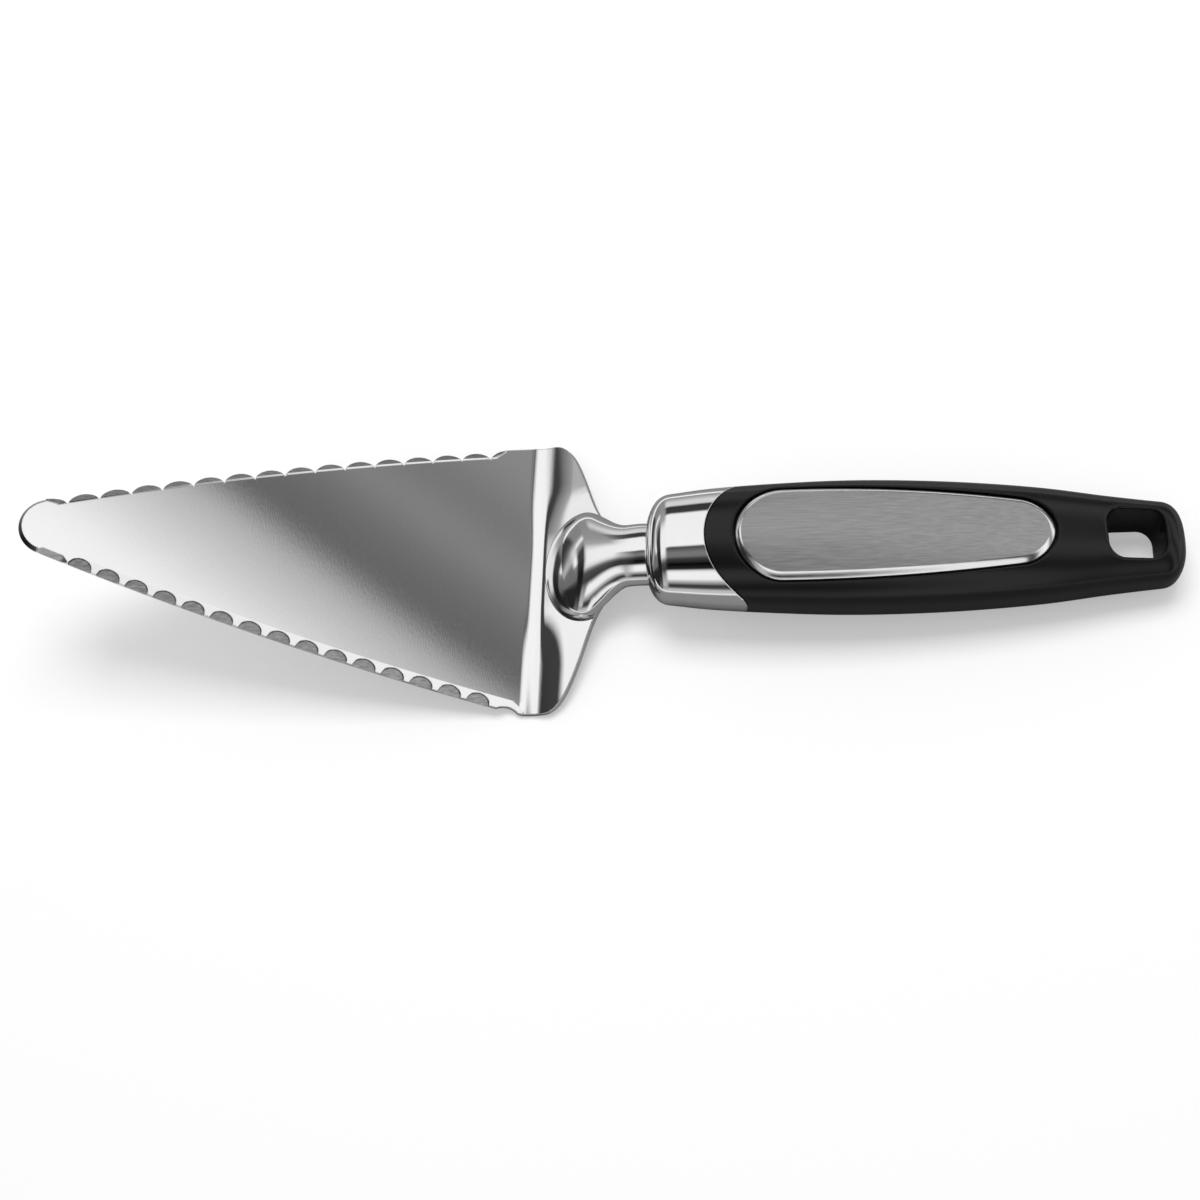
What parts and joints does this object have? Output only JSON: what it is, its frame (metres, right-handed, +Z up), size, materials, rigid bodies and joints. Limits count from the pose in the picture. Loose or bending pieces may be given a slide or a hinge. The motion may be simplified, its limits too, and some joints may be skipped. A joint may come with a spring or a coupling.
{
  "type": "cake server",
  "caption": "Offset cake server: bent triangular steel blade with serrated edges, forged neck, bright ferrule and soft black handle with a steel inlay and a hang hole.",
  "frame": {"origin": "on the table, under the middle of the length, on the plane that halves the server", "axes": "+X from the blade's tip to the butt, +Y to the far edge with the round lobes, +Z up from the table it lies on"},
  "size_m": [0.263, 0.0702, 0.0408],
  "materials": {
    "blade_steel": "fine satin polish",
    "neck_steel": "mirror polish",
    "tang_steel": "as ground",
    "pin_steel": "drawn rod",
    "ferrule_chrome": "mirror polish",
    "core_plastic": "moulded",
    "grip_black": "soft satin black",
    "pad_black": "bonding pad",
    "inlay_steel": "brushed along its length"
  },
  "bodies": {
    "root": {"blade": "blade_steel", "neck": "neck_steel", "tang": "tang_steel", "tang_pins": "pin_steel", "ferrule": "ferrule_chrome", "core": "core_plastic", "grip": "grip_black", "inlay_pad": "pad_black", "inlay_plate": "inlay_steel"}
  },
  "joints": []
}
